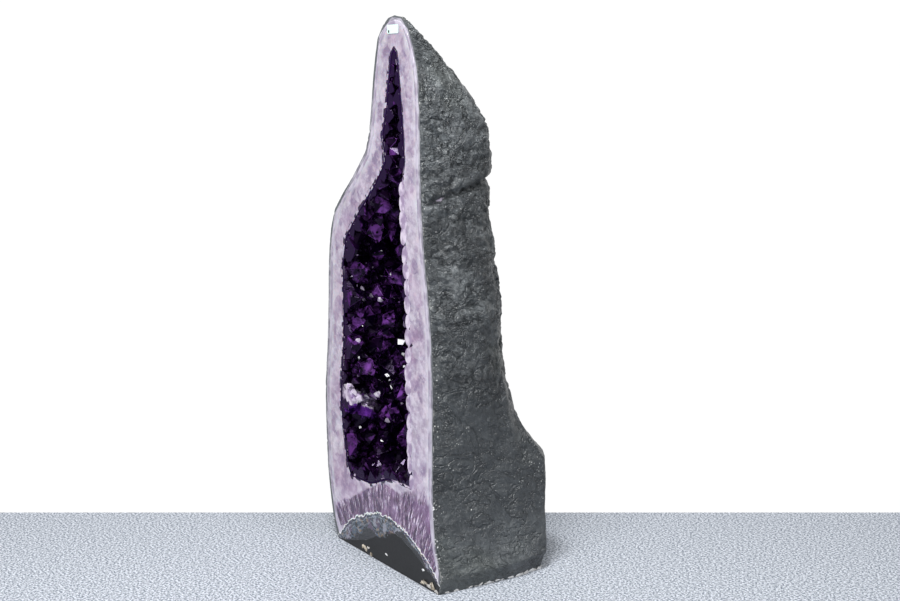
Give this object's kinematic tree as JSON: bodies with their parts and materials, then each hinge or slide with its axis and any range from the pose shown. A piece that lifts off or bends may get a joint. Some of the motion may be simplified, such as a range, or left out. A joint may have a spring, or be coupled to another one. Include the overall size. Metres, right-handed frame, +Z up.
{
  "type": "amethyst geode",
  "caption": "Tall amethyst cathedral geode standing on a flat sawn base: basalt rind, agate skin, quartz wall and a cavity lined with amethyst points.",
  "frame": {"origin": "middle of the base, at the centre of the part's bounding box seen from above", "axes": "+Z up, +X across the sawn face from left to right seen from the front, +Y from the sawn face towards the back"},
  "size_m": [0.3436, 0.2315, 0.8],
  "materials": {
    "basalt": "satin, dark grey painted rough basalt",
    "agate": "polished, banded blue-grey agate",
    "quartz": "gloss, pale lavender quartz sawn and polished, with purple columns near the floor",
    "carpet": "gloss, dark purple carpet of small amethyst points",
    "amethyst": "polished, deep purple natural crystal faces",
    "label_paper": "matte, pale mint paper, blank"
  },
  "bodies": {
    "root": {"basalt_rind": "basalt", "agate_skin": "agate", "quartz_wall": "quartz", "amethyst_carpet": "carpet", "crystal_01": "amethyst", "crystal_02": "amethyst", "crystal_03": "amethyst", "crystal_04": "amethyst", "crystal_05": "amethyst", "crystal_06": "amethyst", "crystal_07": "amethyst", "crystal_08": "amethyst", "crystal_09": "amethyst", "crystal_10": "amethyst", "crystal_11": "amethyst", "crystal_12": "amethyst", "crystal_13": "amethyst", "crystal_14": "amethyst", "crystal_15": "amethyst", "crystal_16": "amethyst", "crystal_17": "amethyst", "crystal_18": "amethyst", "crystal_19": "amethyst", "crystal_20": "amethyst", "crystal_21": "amethyst", "crystal_22": "amethyst", "crystal_23": "amethyst", "crystal_24": "amethyst", "crystal_25": "amethyst", "crystal_26": "amethyst", "crystal_27": "amethyst", "crystal_28": "amethyst", "crystal_29": "amethyst", "crystal_30": "amethyst", "crystal_31": "amethyst", "crystal_32": "amethyst", "crystal_33": "amethyst", "crystal_34": "amethyst", "crystal_35": "amethyst", "crystal_36": "amethyst", "crystal_37": "amethyst", "crystal_38": "amethyst", "crystal_39": "amethyst", "crystal_40": "amethyst", "crystal_41": "amethyst", "crystal_42": "amethyst", "crystal_43": "amethyst", "crystal_44": "amethyst", "crystal_45": "amethyst", "crystal_46": "amethyst", "crystal_47": "amethyst", "crystal_48": "amethyst", "crystal_49": "amethyst", "crystal_50": "amethyst", "crystal_51": "amethyst", "crystal_52": "amethyst", "crystal_53": "amethyst", "crystal_54": "amethyst", "price_label": "label_paper"}
  },
  "joints": []
}
